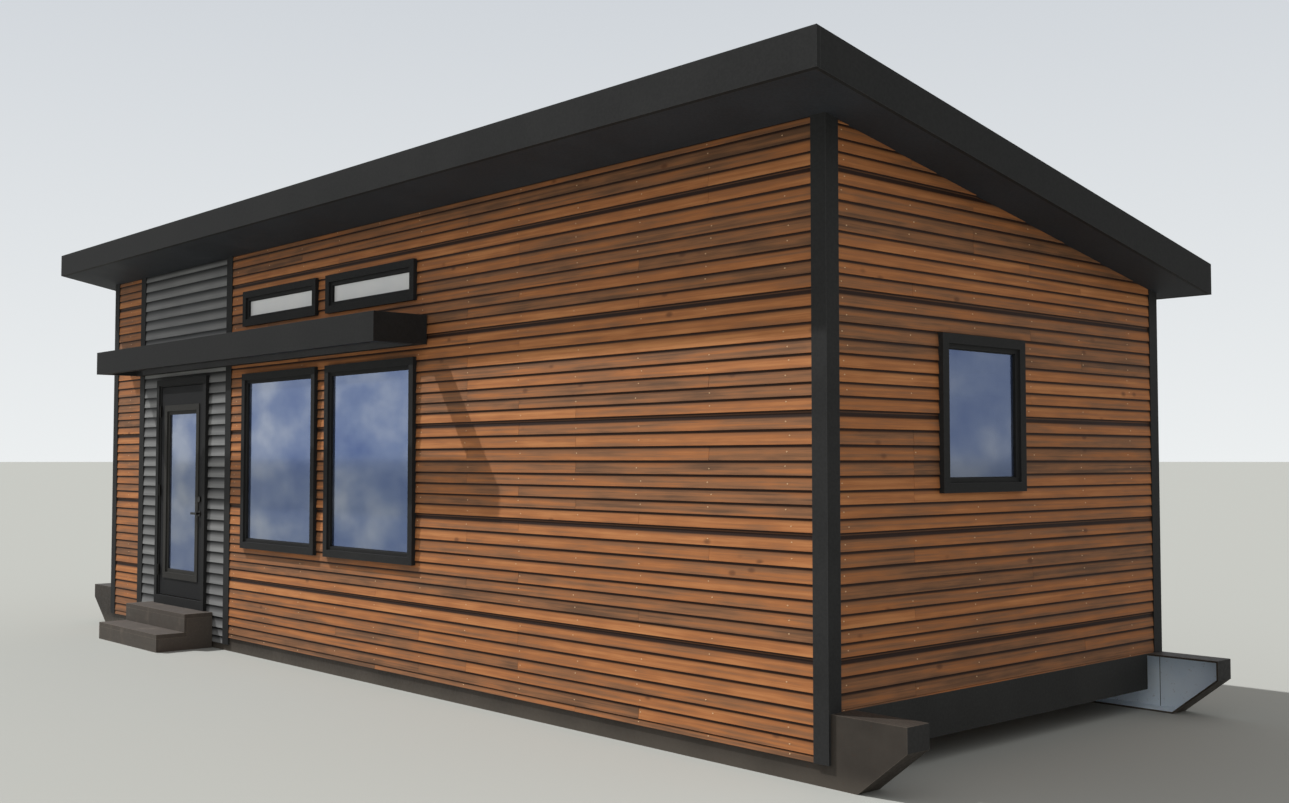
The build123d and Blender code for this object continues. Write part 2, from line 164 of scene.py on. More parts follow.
class Shader:
    """A material in the making, with short calls for the nodes that this script uses."""

    def __init__(self, name):
        self.material = bpy.data.materials.new(name)
        self.material.use_nodes = True
        self.tree = self.material.node_tree
        self.surface = self.tree.nodes["Principled BSDF"]
        self.links = self.tree.links

    def node(self, kind, **inputs):
        """A new node. Sockets are named with underscores for spaces."""
        made = self.tree.nodes.new(kind)
        for name, value in inputs.items():
            self.feed(made.inputs[name.replace("_", " ")], value)
        return made

    def feed(self, socket, value):
        """Links an output to a socket, or sets the socket's own value."""
        if isinstance(value, bpy.types.NodeSocket):
            self.links.new(value, socket)
        else:
            socket.default_value = value

    def place(self):
        """Where a point lies on the object at rest, in metres."""
        return self.node("ShaderNodeTexCoord").outputs["Object"]

    def uv(self, name):
        """A UV map by its name."""
        made = self.node("ShaderNodeUVMap")
        made.uv_map = name
        return made.outputs["UV"]

    def part(self, vector, axis):
        """One of the three numbers of a place, a direction or a colour."""
        return self.node("ShaderNodeSeparateXYZ", Vector=vector).outputs[axis]

    def vectors(self, operation, first, second, output="Vector"):
        """One sum on two places or directions."""
        made = self.node("ShaderNodeVectorMath")
        made.operation = operation
        self.feed(made.inputs[0], first)
        self.feed(made.inputs[1], second)
        return made.outputs[output]

    def stretched(self, vector, scale):
        """The place scaled by its own amount along each axis."""
        return self.vectors("MULTIPLY", vector, scale)

    def noise(self, vector, scale, detail=3.0, roughness=0.55, distortion=0.0):
        """Soft random values around a half."""
        made = self.node("ShaderNodeTexNoise", Vector=vector, Scale=scale, Detail=detail,
                         Roughness=roughness, Distortion=distortion)
        return made.outputs["Fac"]

    def streaked(self, vector, scales, **kept):
        """Noise with a scale of its own along each axis, which draws it out into streaks."""
        return self.noise(self.stretched(vector, scales), 1.0, **kept)

    def between(self, value, low, high, start=0.0, end=1.0):
        """The value's way from low to high, as a number from start to end, held at both ends."""
        made = self.node("ShaderNodeMapRange")
        made.interpolation_type = "SMOOTHSTEP"
        for socket, given in zip(made.inputs, (value, low, high, start, end)):
            self.feed(socket, given)
        return made.outputs["Result"]

    def spread(self, noise, start=0.0, end=1.0):
        """A noise's middle range, spread out from start to end."""
        return self.between(noise, noise_low, noise_high, start, end)

    def math(self, operation, first, second=0.0):
        """One sum on two numbers."""
        made = self.node("ShaderNodeMath")
        made.operation = operation
        self.feed(made.inputs[0], first)
        self.feed(made.inputs[1], second)
        return made.outputs["Value"]

    def shared(self, first, second, share):
        """A share of the first number and the rest of the second."""
        return self.math("ADD", self.math("MULTIPLY", first, share),
                         self.math("MULTIPLY", second, 1 - share))

    def mix(self, share, first, second):
        """Two colours mixed by a share from 0 to 1."""
        made = self.node("ShaderNodeMix")
        made.data_type = "RGBA"
        self.feed(made.inputs["Factor"], share)
        self.feed(made.inputs["A"], first)
        self.feed(made.inputs["B"], second)
        for socket in made.outputs:
            if socket.type == "RGBA":
                return socket

    def tint(self, colour, other, mask, share):
        """A colour with another over it where a mask is 1, by the given share."""
        return self.mix(self.math("MULTIPLY", mask, share), colour, other)

    def ramp(self, value, stops):
        """A colour that runs through stops of (place, colour)."""
        made = self.node("ShaderNodeValToRGB", Fac=value)
        elements = made.color_ramp.elements
        while len(elements) < len(stops):
            elements.new(0.5)
        for element, (at, colour) in zip(elements, stops):
            element.position = at
            element.color = colour
        return made.outputs["Color"]

    def attribute(self, name):
        """A number stored on the mesh."""
        made = self.node("ShaderNodeAttribute")
        made.attribute_name = name
        return made.outputs["Fac"]

    def worn_edges(self, radius):
        """Near 1 on the arrises of a solid and 0 on its flat faces."""
        bevel = self.node("ShaderNodeBevel", Radius=radius)
        bevel.samples = bevel_samples
        flat = self.node("ShaderNodeNewGeometry").outputs["Normal"]
        turned = self.vectors("DOT_PRODUCT", bevel.outputs["Normal"], flat, "Value")
        return self.between(turned, unworn_turn, worn_turn)

    def normal(self):
        """The direction in which a face of the object looks."""
        return self.node("ShaderNodeTexCoord").outputs["Normal"]

    def facing(self, axis):
        """1 where a face looks straight along an axis of the object, either way."""
        return self.math("ABSOLUTE", self.part(self.normal(), axis))

    def faces_towards(self, centre):
        """1 on faces that look towards a point, and 0 on those that look away from it."""
        towards = self.vectors("SUBTRACT", centre, self.place())
        return self.math("GREATER_THAN", self.vectors("DOT_PRODUCT", towards, self.normal(), "Value"), 0.0)

    def bump(self, height, strength, distance):
        """A bumped normal from a height."""
        made = self.node("ShaderNodeBump", Height=height, Strength=strength, Distance=distance)
        return made.outputs["Normal"]

    def done(self, **inputs):
        """Feeds the surface and returns the material."""
        for name, value in inputs.items():
            self.feed(self.surface.inputs[name.replace("_", " ")], value)
        return self.material


def wood_board():
    """Oiled softwood: streaks along the board, knots, and painted shade under each lap, with a near-black
    band right under the butt above.
    """
    shader = Shader("wood_board")
    grain = shader.uv("grain")
    lap = shader.part(shader.uv("lap"), "Y")
    tone = shader.attribute("tone")
    streaks = shader.streaked(grain, (0.9, 42.0, 1.0), detail=4.0, roughness=0.6, distortion=0.25)
    fine = shader.streaked(grain, (9.0, 420.0, 1.0), detail=3.0)
    patches = shader.streaked(grain, (2.2, 9.0, 1.0), detail=2.0)
    shade = shader.math("ADD", tone, shader.spread(streaks, -0.22, 0.22))
    shade = shader.math("ADD", shade, shader.spread(patches, -0.14, 0.14))
    shade = shader.math("ADD", shade, shader.spread(fine, -0.07, 0.07))
    colour = shader.ramp(shade, [
        (0.0, screen(104, 74, 52)),
        (0.35, screen(144, 98, 65)),
        (0.6, screen(169, 107, 62)),
        (1.0, screen(196, 132, 81)),
    ])
    cells = shader.node("ShaderNodeTexVoronoi", Vector=shader.stretched(grain, (7.0, 13.0, 1.0)),
                        Scale=1.0)
    chosen = shader.part(cells.outputs["Color"], "X")
    knot = shader.math("MULTIPLY", shader.between(cells.outputs["Distance"], 0.30, 0.08),
                       shader.between(chosen, 0.93, 0.95))
    colour = shader.tint(colour, screen(84, 50, 32), knot, 0.6)
    # Painted shade under each lap: a soft darkening down from the butt above, and a near-black band right
    # under it.
    painted_lap_shade_noise = shader.between(patches, 0.2, 0.8, -0.05, 0.05)
    painted_lap_shade = shader.between(shader.math("ADD", lap, painted_lap_shade_noise), 0.55, 1.0)
    colour = shader.tint(colour, screen(58, 37, 22), painted_lap_shade, 0.75)
    painted_lap_line = shader.between(lap, 0.755, 0.885)
    colour = shader.tint(colour, screen(36, 17, 8), painted_lap_line, 0.95)
    return shader.done(
        Base_Color=colour,
        Roughness=shader.between(streaks, 0.2, 0.8, 0.62, 0.78),
        Specular_IOR_Level=0.25,
        Normal=shader.bump(shader.shared(streaks, fine, 0.7), strength=0.35, distance=0.002),
    )


def grey_board():
    """Lap boards painted grey, thinner over the grain, with painted shade under each lap."""
    shader = Shader("grey_board")
    grain = shader.uv("grain")
    lap = shader.part(shader.uv("lap"), "Y")
    tone = shader.attribute("tone")
    streaks = shader.streaked(grain, (1.2, 48.0, 1.0), detail=4.0, roughness=0.6)
    patches = shader.streaked(grain, (1.6, 6.0, 1.0), detail=2.0)
    shade = shader.math("ADD", shader.math("MULTIPLY", tone, 0.5), shader.spread(streaks, 0.0, 0.3))
    shade = shader.math("ADD", shade, shader.spread(patches, 0.0, 0.2))
    colour = shader.ramp(shade, [
        (0.0, screen(98, 98, 99)),
        (0.5, screen(124, 124, 124)),
        (1.0, screen(148, 148, 147)),
    ])
    # Painted shade under each lap of the grey boards, and a near-black band right under the butt above.
    painted_lap_shade = shader.between(lap, 0.25, 0.92)
    colour = shader.tint(colour, screen(16, 16, 17), painted_lap_shade, 0.95)
    painted_lap_line = shader.between(lap, 0.775, 0.905)
    colour = shader.tint(colour, screen(8, 8, 8), painted_lap_line, 0.8)
    return shader.done(
        Base_Color=colour,
        Roughness=shader.between(streaks, 0.2, 0.8, 0.5, 0.68),
        Specular_IOR_Level=0.25,
        Normal=shader.bump(streaks, strength=0.2, distance=0.002),
    )


def painted(name, base, worn, roughness):
    """Satin paint on boards: faint brush lines, cloudy fading and arrises rubbed lighter."""
    shader = Shader(name)
    place = shader.place()
    clouds = shader.noise(place, 1.7, detail=4.0)
    specks = shader.noise(place, 60.0, detail=3.0)
    brushed = shader.streaked(place, (90.0, 90.0, 4.0), detail=2.0)
    fade = shader.math("ADD", shader.spread(clouds, 0.0, 0.6),
                       shader.spread(specks, 0.0, 0.4))
    lighter = tuple(min(1.0, value * fade_lighter) for value in base[:3]) + (1.0,)
    darker = tuple(value * fade_darker for value in base[:3]) + (1.0,)
    colour = shader.mix(fade, darker, lighter)
    edges = shader.worn_edges(0.004)
    colour = shader.tint(colour, worn, edges, 0.6)
    return shader.done(
        Base_Color=colour,
        Roughness=shader.spread(clouds, roughness - 0.06, roughness + 0.08),
        Specular_IOR_Level=0.06,
        Normal=shader.bump(brushed, strength=0.12, distance=0.001),
    )


def skid_steel(node):
    """Brown-grey paint outside a channel and blue-grey primer on its inner faces."""
    shader = Shader(node + "_steel")
    place = shader.place()
    clouds = shader.noise(place, 2.4, detail=5.0)
    specks = shader.noise(place, 45.0, detail=4.0, roughness=0.7)
    colour = shader.mix(shader.spread(clouds), screen(53, 48, 43), screen(66, 60, 54))
    dust = shader.between(shader.part(place, "Z"), dust_height, 0.0, 0.0, 0.3)
    colour = shader.mix(dust, colour, screen(112, 104, 94))
    chips = shader.math("MULTIPLY", shader.between(specks, 0.62, 0.72), 0.45)
    colour = shader.mix(chips, colour, screen(86, 62, 46))
    edges = shader.worn_edges(0.005)
    colour = shader.tint(colour, screen(118, 108, 98), edges, 0.5)
    low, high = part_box(node)
    nose = shader.between(shader.facing("X"), 0.9, 0.98)
    colour = shader.mix(nose, colour, screen(44, 43, 42))
    primer = shader.mix(shader.spread(clouds), screen(222, 236, 250), screen(236, 246, 254))
    primer = shader.mix(chips, primer, screen(128, 106, 88))
    colour = shader.mix(shader.faces_towards((low + high) / 2), colour, primer)
    return shader.done(
        Base_Color=colour,
        Roughness=shader.spread(specks, 0.5, 0.72),
        Specular_IOR_Level=0.2,
        Normal=shader.bump(specks, strength=0.12, distance=0.001),
    )


def painted_sky_glass(name, clear, shift, sky_brightness):
    """A pane with a painted reflection of a blue sky with soft clouds over its real mirror reflection, the
    darker the lower its sky brightness.
    """
    shader = Shader(name)

    def painted_sky_colour(red, green, blue):
        return screen(sky_brightness * red, sky_brightness * green, sky_brightness * blue)

    place = shader.stretched(shader.vectors("ADD", shader.place(), shift), (0.6, 0.6, 1.0))
    clouds = shader.noise(place, 3.0, detail=3.0, roughness=0.45)
    high = shader.noise(place, 0.8, detail=2.0)
    colour = shader.ramp(shader.shared(clouds, high, 0.75), [
        (0.30, painted_sky_colour(90, 112, 163)),
        (0.48, painted_sky_colour(124, 141, 179)),
        (0.66, painted_sky_colour(167, 177, 199)),
    ])
    return shader.done(Base_Color=colour, Metallic=0.75, Roughness=0.08, Alpha=clear)


def pale_glass():
    """An obscured pane, pale grey and finely rippled."""
    shader = Shader("pale_glass")
    place = shader.place()
    ripple = shader.noise(place, 120.0, detail=2.0)
    clouds = shader.noise(place, 3.0, detail=3.0)
    colour = shader.mix(shader.spread(clouds), screen(226, 227, 228), screen(233, 233, 232))
    rippled = shader.bump(ripple, strength=0.15, distance=0.0006)
    return shader.done(Base_Color=colour, Roughness=0.22, Normal=rippled)


def planks(name, axis, width, low, high, groove):
    """Boards side by side across one axis, each with its own shade and a dark groove between."""
    shader = Shader(name)
    place = shader.place()
    across = shader.part(place, axis)
    boards = shader.math("DIVIDE", across, width)
    index = shader.math("FLOOR", boards)
    share = shader.math("FRACT", boards)
    seed = shader.node("ShaderNodeTexWhiteNoise")
    seed.noise_dimensions = "1D"
    shader.links.new(index, seed.inputs["W"])
    grain_scale = [40.0 if name_of == axis else 2.0 for name_of in ("X", "Y", "Z")]
    grain = shader.streaked(place, grain_scale, detail=4.0)
    colour = shader.mix(shader.shared(seed.outputs["Value"], grain, 0.5), low, high)
    edge = shader.math("MINIMUM", share, shader.math("SUBTRACT", 1.0, share))
    seam = shader.between(edge, 0.035, 0.0)
    colour = shader.mix(seam, colour, groove)
    return shader.done(
        Base_Color=colour,
        Roughness=shader.between(grain, 0.2, 0.8, 0.5, 0.7),
        Specular_IOR_Level=0.3,
        Normal=shader.bump(shader.math("SUBTRACT", 1.0, seam), strength=0.5, distance=0.002),
    )


def step_wood(name, low, high, worn):
    """Brown boards of the steps, scuffed where feet fall and along the arrises."""
    shader = Shader(name)
    place = shader.place()
    streaks = shader.streaked(place, (3.0, 60.0, 60.0), detail=4.0, roughness=0.6)
    scuffs = shader.noise(place, 6.0, detail=5.0, roughness=0.65)
    colour = shader.mix(streaks, low, high)
    colour = shader.mix(shader.between(scuffs, 0.5, 0.75, 0.0, 0.5), colour, worn)
    edges = shader.worn_edges(0.005)
    colour = shader.tint(colour, worn, edges, 0.7)
    return shader.done(
        Base_Color=colour,
        Roughness=shader.spread(scuffs, 0.6, 0.8),
        Specular_IOR_Level=0.25,
        Normal=shader.bump(streaks, strength=0.25, distance=0.0015),
    )


def roof_metal():
    """Dark coated sheet with faint runs down the slope."""
    shader = Shader("roof_metal")
    place = shader.place()
    runs = shader.streaked(place, (9.0, 0.5, 1.0), detail=4.0)
    clouds = shader.noise(place, 0.9, detail=4.0)
    shade = shader.shared(runs, clouds, 0.6)
    colour = shader.mix(shader.between(shade, 0.35, 0.65), screen(48, 49, 51), screen(62, 63, 65))
    return shader.done(
        Base_Color=colour,
        Roughness=shader.between(shade, 0.35, 0.65, 0.42, 0.55),
        Specular_IOR_Level=0.35,
        Normal=shader.bump(clouds, strength=0.1, distance=0.01),
    )


def worn_metal(name, dark, bright, metallic, roughness):
    """Small metal fittings, brighter where they are handled."""
    shader = Shader(name)
    place = shader.place()
    clouds = shader.noise(place, 90.0, detail=3.0)
    edges = shader.worn_edges(0.0015)
    colour = shader.mix(shader.spread(clouds, 0.0, 0.35), dark, bright)
    colour = shader.tint(colour, bright, edges, 0.7)
    return shader.done(
        Base_Color=colour,
        Metallic=metallic,
        Roughness=shader.spread(clouds, roughness - 0.08, roughness + 0.08),
    )


def rubber():
    """Black glazing rubber with a little dust."""
    shader = Shader("rubber")
    dust = shader.noise(shader.place(), 35.0, detail=3.0)
    colour = shader.mix(shader.between(dust, 0.35, 0.75), screen(20, 20, 21), screen(38, 38, 38))
    return shader.done(Base_Color=colour, Roughness=0.7, Specular_IOR_Level=0.3)


def membrane_and_gap_shade():
    """The dark sheet behind the boards, seen only in the wide gaps, near-black as painted shade for their
    depth.
    """
    shader = Shader("membrane_and_gap_shade")
    creases = shader.streaked(shader.place(), (2.0, 2.0, 14.0), detail=3.0)
    colour = shader.mix(creases, screen(14, 11, 9), screen(30, 23, 18))
    return shader.done(Base_Color=colour, Roughness=0.85, Specular_IOR_Level=0.1)


def dress(material, *names):
    """Gives a material to CAD nodes."""
    for name in names:
        mesh = nodes[name].data
        mesh.materials.clear()
        mesh.materials.append(material)


charcoal = painted("charcoal_paint", screen(45, 45, 45), screen(72, 72, 73), 0.65)
# Painted light: the trims take a lighter copy of the charcoal, making up for the less light they get than
# the fascia.
lightened_trim_paint = painted("lightened_trim_paint", screen(49, 49, 49), screen(75, 75, 76), 0.65)
rim_paint = painted("rim_paint", screen(54, 54, 53), screen(78, 78, 77), 0.65)
# Painted light: the soffit takes a lighter copy of the charcoal, lifting the shade under the roof.
lightened_soffit_paint = painted("lightened_soffit_paint", screen(55, 57, 61), screen(75, 77, 81), 0.6)
door_paint = painted("door_paint", screen(41, 41, 42), screen(68, 68, 69), 0.6)
lite_frame_paint = painted("lite_frame_paint", screen(58, 57, 55), screen(84, 83, 80), 0.6)
front_skid_steel = skid_steel("skid_front")
rear_skid_steel = skid_steel("skid_rear")
window_glass = painted_sky_glass("window_glass", 0.85, (0.0, 0.0, 0.0), 1.0)
# Painted shade: the end windows take a darker copy of the painted sky, for the shade on the end walls.
shaded_end_glass = painted_sky_glass("shaded_end_glass", 0.85, (0.0, 0.0, 0.0), 0.84)
door_pane = painted_sky_glass("door_pane", 0.9, (1.7, 0.0, 0.62), 0.95)
wall_shades = (screen(196, 190, 178), screen(216, 210, 198), screen(120, 114, 104))
floor_shades = (screen(140, 104, 70), screen(172, 134, 94), screen(64, 44, 30))
frame_shades = (screen(150, 120, 84), screen(178, 146, 106), screen(120, 94, 66))
wall_planks = planks("wall_planks", "X", 0.14, *wall_shades)
end_planks = planks("end_planks", "Y", 0.14, *wall_shades)
floor_planks = planks("floor_planks", "Y", 0.12, *floor_shades)
frame_timber = planks("frame_timber", "Y", 0.30, *frame_shades)
tread_wood = step_wood("tread_wood", screen(68, 61, 55), screen(87, 79, 72), screen(117, 107, 97))
riser_paint = step_wood("step_paint", screen(70, 64, 58), screen(86, 79, 72), screen(110, 100, 91))
# Painted light: the step cheeks take a lighter copy of the step paint, lifting the shade on their sides.
lightened_cheek_paint = step_wood("lightened_cheek_paint", screen(78, 71, 65), screen(95, 87, 80), screen(118, 108, 99))
bronze = worn_metal("bronze", screen(30, 29, 28), screen(70, 66, 60), 0.6, 0.45)
# The nail heads' pale warm colour is a painted glint on steel.
nail_steel_and_glint = worn_metal("nail_steel_and_glint", screen(206, 170, 128), screen(226, 192, 150), 0.3, 0.45)
wood = wood_board()
grey = grey_board()
behind = membrane_and_gap_shade()
gasket_rubber = rubber()

dress(front_skid_steel, "skid_front")
dress(rear_skid_steel, "skid_rear")
dress(rim_paint, "rim_beams")
dress(lightened_trim_paint, "corner_trims_front", "corner_trims_rear", "battens")
dress(charcoal, "fascia_front", "fascia_rear", "rakes", "awning_frame",
      "tall_window_frames", "transom_frames", "right_window_frame", "left_window_frame",
      "rear_window_frame", "door_casing", "door_frame", "door_sill")
dress(lightened_soffit_paint, "roof_soffit")
dress(door_paint, "door_slab")
dress(lite_frame_paint, "door_lite_frame")
dress(window_glass, "tall_window_glass", "rear_window_glass")
dress(shaded_end_glass, "right_window_glass", "left_window_glass")
dress(door_pane, "door_glass")
dress(pale_glass(), "transom_glass")
dress(wall_planks, "front_wall_left", "front_wall_over_door", "front_wall_right", "rear_wall",
      "ceiling", "roof_panel")
dress(end_planks, "end_wall_left", "end_wall_right")
dress(floor_planks, "floor_deck")
dress(frame_timber, "floor_joists")
dress(roof_metal(), "roof_sheet")
dress(bronze, "door_handle", "hinge_jamb_leaves", "hinge_door_leaves")
dress(tread_wood, "step_treads")
dress(riser_paint, "step_risers")
dress(lightened_cheek_paint, "step_cheeks")


# Meshes

class Solids:
    """Many small solids that become one mesh, with UV maps and a tone for each solid."""

    def __init__(self):
        self.corners = []
        self.faces = []
        self.grain = []
        self.lap = []
        self.tones = []

    def loft(self, start, end, tone=0.5):
        """A solid between two outlines of (place, grain, lap) corners, closed at both ends."""
        first = len(self.corners)
        count = len(start)
        for place, grain, lap in start + end:
            self.corners.append(place)
            self.grain.append(grain)
            self.lap.append(lap)
        ring = range(count)
        sides = [(first + i, first + (i + 1) % count, first + count + (i + 1) % count,
                  first + count + i) for i in ring]
        caps = [tuple(first + i for i in ring), tuple(first + count + i for i in ring)]
        for face in sides + caps:
            self.faces.append(face)
            self.tones.append(tone)

    def plain(self, start, end):
        """A solid between two outlines of places, for materials that need no UV map."""
        self.loft([(place, (0.0, 0.0), 0.0) for place in start],
                  [(place, (0.0, 0.0), 0.0) for place in end])

    def box(self, low, high):
        """A block between two opposite corners."""
        start = [(low[0], low[1], low[2]), (high[0], low[1], low[2]),
                 (high[0], high[1], low[2]), (low[0], high[1], low[2])]
        self.plain(start, [(x, y, high[2]) for x, y, z in start])

    def build(self, name, material):
        """The object, riding on its body."""
        mesh = bpy.data.meshes.new(name)
        mesh.from_pydata(self.corners, [], self.faces)
        tones = mesh.attributes.new("tone", "FLOAT", "FACE")
        tones.data.foreach_set("value", self.tones)
        grain_map = mesh.uv_layers.new(name="grain")
        lap_map = mesh.uv_layers.new(name="lap")
        for loop in mesh.loops:
            grain_map.data[loop.index].uv = self.grain[loop.vertex_index]
            lap_map.data[loop.index].uv = (0.5, self.lap[loop.vertex_index])
        shaped = bmesh.new()
        shaped.from_mesh(mesh)
        bmesh.ops.recalc_face_normals(shaped, faces=shaped.faces)
        shaped.to_mesh(mesh)
        shaped.free()
        mesh.materials.append(material)
        made = bpy.data.objects.new(name, mesh)
        bpy.context.scene.collection.objects.link(made)
        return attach(made, body)


class Wall:
    """One outside wall. A place on it is given along it, out from its sheathing, and up."""

    def __init__(self, axis, sheathing, out):
        self.axis = axis
        self.sheathing = sheathing
        self.out = out

    def place(self, along, out, up):
        """The place in the frame of the model."""
        made = [0.0, 0.0, up]
        made[self.axis] = along
        made[1 - self.axis] = self.sheathing + self.out * out
        return tuple(made)

    def outline(self, node):
        """The rectangle that a node covers: along from, along to, bottom and top."""
        low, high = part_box(node)
        return low[self.axis], high[self.axis], low.z, high.z


def roof_z(y):
    """Height of the underside of the roof."""
    return eave_z - roof_fall * (y - eave_y)


front_low, front_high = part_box("front_siding_right")
rear_low, rear_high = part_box("rear_siding")
eave_y = front_low.y
eave_z = front_high.z
roof_fall = (front_high.z - rear_high.z) / (rear_low.y - front_low.y)

along_x, along_y = 0, 1
front_wall = Wall(along_x, front_high.y, -1)
rear_wall = Wall(along_x, rear_low.y, 1)
right_wall = Wall(along_y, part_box("end_siding_right")[0].x, 1)
left_wall = Wall(along_y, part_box("end_siding_left")[1].x, -1)


def split_in_two(outline):
    """The rectangles of two windows of one width that share a node."""
    along_from, along_to, bottom, top = outline
    return [(along_from, along_from + pane_width, bottom, top),
            (along_to - pane_width, along_to, bottom, top)]


front_windows = split_in_two(front_wall.outline("tall_window_frames"))
front_windows += split_in_two(front_wall.outline("transom_frames"))


def within(courses, bottom, top):
    """The courses that lie on a panel, cut at its bottom and top."""
    return [(max(low, bottom), min(high, top)) for low, high in courses if high > bottom and low < top]


def wood_courses(bottom, top):
    """Bottom and top of each visible board, with a wide gap under every eighth."""
    courses = []
    z = wood_first_gap
    while z < top:
        z += wood_gap
        for face in wood_faces:
            courses.append((z, z + face))
            z += face
    return within(courses, bottom, top)


def wide_gaps(bottom, top):
    """Bottom and top of each wide gap that lies whole on a panel."""
    gaps = []
    z = wood_first_gap
    while z < top:
        if z > bottom and z + wood_gap < top:
            gaps.append((z, z + wood_gap))
        z += wood_gap + sum(wood_faces)
    return gaps


def grey_courses(bottom, top):
    """Bottom and top of each visible grey board."""
    courses = []
    z = grey_first_lap
    while z < top:
        courses.append((z, z + grey_face))
        z += grey_face
    return within(courses, bottom, top)


def joints(along_from, along_to):
    """Places along a course where two boards meet, on studs, at random lengths."""
    first = math.ceil((along_from - stud_first) / stud_spacing)
    last = math.floor((along_to - stud_first) / stud_spacing)
    places = [along_from]
    stud = first + random.randint(1, longest_board) - 1
    while stud < last:
        if stud > first:
            places.append(stud_first + stud * stud_spacing)
        stud += random.randint(shortest_board, longest_board)
    places.append(along_to)
    return [(start, end) for start, end in zip(places, places[1:]) if end > start]


class Panel:
    """One panel of boards in the place of its CAD node, cut round holes and under the roof."""

    def __init__(self, wall, node, holes, sloped):
        self.wall = wall
        self.node = node
        self.holes = holes
        self.sloped = sloped
        self.start, self.end, self.bottom, self.top = wall.outline(node)

    def free_parts(self, start, end, low, high):
        """A rectangle of board less the holes that cross it."""
        edges = {edge for hole in self.holes for edge in hole[:2] if start < edge < end}
        cuts = sorted(edges | {start, end})
        parts = []
        for part_start, part_end in zip(cuts, cuts[1:]):
            middle = (part_start + part_end) / 2
            spans = [(low, high)]
            for hole_start, hole_end, bottom, top in self.holes:
                if hole_start < middle < hole_end:
                    halves = [half for span_low, span_high in spans
                              for half in ((span_low, min(span_high, bottom)),
                                           (max(span_low, top), span_high))]
                    spans = [(a, b) for a, b in halves if b > a]
            parts += [(part_start, part_end, a, b) for a, b in spans]
        return parts

    def pieces(self, start, end, low, high):
        """What is left of a board: the ends, bottom and two top heights of each piece."""
        left = []
        for part in self.free_parts(start, end, low, high):
            left += under_slope(part) if self.sloped else [part + (part[3],)]
        return left

    def section(self, along, low, top, course, wobble, shift):
        """Outline across a board: its back, its chamfered butt and its leaning face."""
        course_low, course_high = course

        def face_out(up):
            share = (up - course_low) / (course_high - course_low)
            return butt_out + (top_out - butt_out) * share - wobble

        top = max(top, low + 2 * butt_chamfer)
        chamfer = butt_chamfer if low == course_low else cut_chamfer
        outline = [
            (0.0, low),
            (face_out(low) - chamfer, low),
            (face_out(low + chamfer), low + chamfer),
            (face_out(top), top),
            (0.0, top),
        ]
        return [(self.wall.place(along, out, up), (along + shift[0], up + shift[1]),
                 (up - course_low) / (course_high - course_low)) for out, up in outline]

    def strip_section(self, along, low, top, shift):
        """Outline across the narrow strip deep in a wide gap, with painted shade along both edges."""
        middle = (low + top) / 2
        outline = [(0.0, low, 1.0), (strip_out, low, 1.0), (strip_out, middle, strip_middle_shade_lap),
                   (strip_out, top, 1.0), (0.0, top, 1.0)]
        return [(self.wall.place(along, out, up), (along + shift, up), lap) for out, up, lap in outline]

    def lay(self, solids, piece, course, wobble, shift, tone):
        """Lays one piece of a board."""
        start, end, low, top_start, top_end = piece
        solids.loft(self.section(start, low, top_start, course, wobble, shift),
                    self.section(end, low, top_end, course, wobble, shift), tone)

    def clad(self, solids, courses, tone_of, nails=None):
        """Lays the courses of boards, and drives their nails where they have any."""
        for index, course in enumerate(courses):
            for start, end in joints(self.start, self.end):
                tone = tone_of(index)
                wobble = random.uniform(0.0, board_wobble)
                shift = (random.uniform(0, grain_spread), random.uniform(0, grain_spread))
                gap_start = start + (joint_gap if start > self.start else 0.0)
                for piece in self.pieces(gap_start, end, *course):
                    self.lay(solids, piece, course, wobble, shift, tone)
                if nails:
                    self.drive_nails(nails, start, end, *course)

    def fill_gaps(self, solids):
        """Lays a strip in each wide gap."""
        for low, high in wide_gaps(self.bottom, self.top):
            shift = random.uniform(0, grain_spread)
            for start, end, bottom, top_start, top_end in self.pieces(self.start, self.end, low, high):
                solids.loft(self.strip_section(start, bottom, top_start, shift),
                            self.strip_section(end, bottom, top_end, shift), strip_tone)

    def drive_nails(self, nails, start, end, low, high):
        """The nails of one board, at most of its studs."""
        stud = math.ceil((start - stud_first) / stud_spacing)
        while stud_first + stud * stud_spacing < end:
            along = stud_first + stud * stud_spacing + random.uniform(-nail_stray, nail_stray)
            up = low + (high - low) * random.uniform(*nail_heights)
            out = butt_out + (top_out - butt_out) * (up - low) / (high - low)
            near_end = min(along - start, end - along) < nail_from_end
            if random.random() >= nails_unseen and not near_end and self.nailable(along, up):
                nails.plain(self.nail_ring(along, out - nail_sunk, up, nail_radius),
                            self.nail_ring(along, out + nail_proud, up, nail_rim * nail_radius))
            stud += 1

    def nailable(self, along, up):
        """Whether a place is clear of the windows and of the roof."""
        near_window = any(hole_start - nail_from_window < along < hole_end + nail_from_window
                          and bottom - nail_from_window < up < top + nail_from_window
                          for hole_start, hole_end, bottom, top in self.holes)
        near_roof = self.sloped and up > roof_z(along) - nail_from_roof
        return not (near_window or near_roof)

    def nail_ring(self, along, out, up, radius):
        """The outline of a nail's head, wider along the board."""
        turns = [2 * math.pi * side / nail_sides for side in range(nail_sides)]
        return [self.wall.place(along + radius * nail_stretch * math.cos(turn), out,
                                up + radius * math.sin(turn)) for turn in turns]

    def back(self):
        """Makes the dark sheet, painted shade for the gaps, over the sheathing, round the holes."""
        top_end = roof_z(self.end) if self.sloped else self.top

        def top_at(along):
            return self.top + (top_end - self.top) * (along - self.start) / (self.end - self.start)

        def outline(along, low, high):
            return [self.wall.place(along, out, up) for out, up in
                    ((0.0, low), (recess_out, low), (recess_out, high), (0.0, high))]

